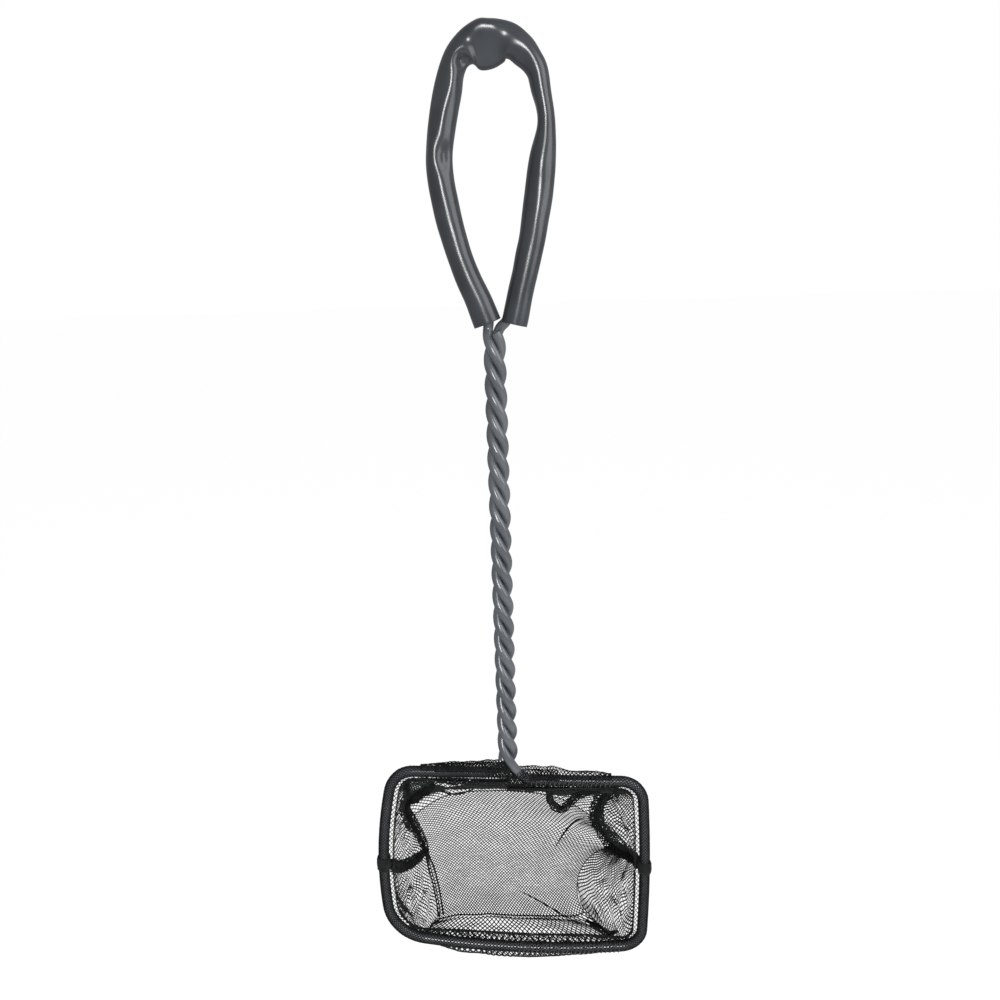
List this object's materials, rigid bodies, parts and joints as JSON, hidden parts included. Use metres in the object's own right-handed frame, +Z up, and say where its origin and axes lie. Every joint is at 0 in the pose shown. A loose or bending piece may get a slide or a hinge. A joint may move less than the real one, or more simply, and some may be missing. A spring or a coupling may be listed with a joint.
{
  "type": "aquarium fish net",
  "caption": "Small aquarium net: vinyl-coated wire bent into a rectangular hoop, twisted into a shaft and a sleeved hanging loop, with a slack black netting bag.",
  "frame": {"origin": "the point inside the top of the sleeved loop that rests on the peg", "axes": "+Z up along the shaft as the net hangs, +X to the right seen from the mouth, +Y from the mouth into the bag"},
  "size_m": [0.114, 0.0645, 0.3925],
  "materials": {
    "steel_wire": "drawn steel, hidden inside its coating except at the cut ends",
    "grey_vinyl": "satin grey vinyl with small highlights",
    "dark_vinyl": "glossy soft vinyl tube, dark blue-grey, creased where it bends",
    "black_netting": "fine knitted nylon netting, black",
    "black_thread": "overlocked polyester thread, black"
  },
  "bodies": {
    "frame": {"grip_sleeve": "dark_vinyl", "loop_wire": "steel_wire", "loop_coating": "grey_vinyl", "hoop_wire": "steel_wire", "hoop_coating": "grey_vinyl", "right_strand_wire": "steel_wire", "right_strand_coating": "grey_vinyl", "left_strand_wire": "steel_wire", "left_strand_coating": "grey_vinyl", "tail_strand_wire": "steel_wire", "tail_strand_coating": "grey_vinyl", "hem_casing": "black_netting", "hem_stitching": "black_thread", "left_hem_band": "black_thread", "right_hem_band": "black_thread"},
    "bag": {"net_bag": "black_netting", "left_side_seam": "black_thread", "right_side_seam": "black_thread", "left_corner_seam": "black_thread", "right_corner_seam": "black_thread"}
  },
  "joints": [
    {"name": "bag_swing", "type": "hinge", "parent": "frame", "child": "bag", "pos_m": [0.00115, 0, -0.30252], "axis": [0.9986, 0, -0.0521], "range_deg": [0, 35]}
  ]
}
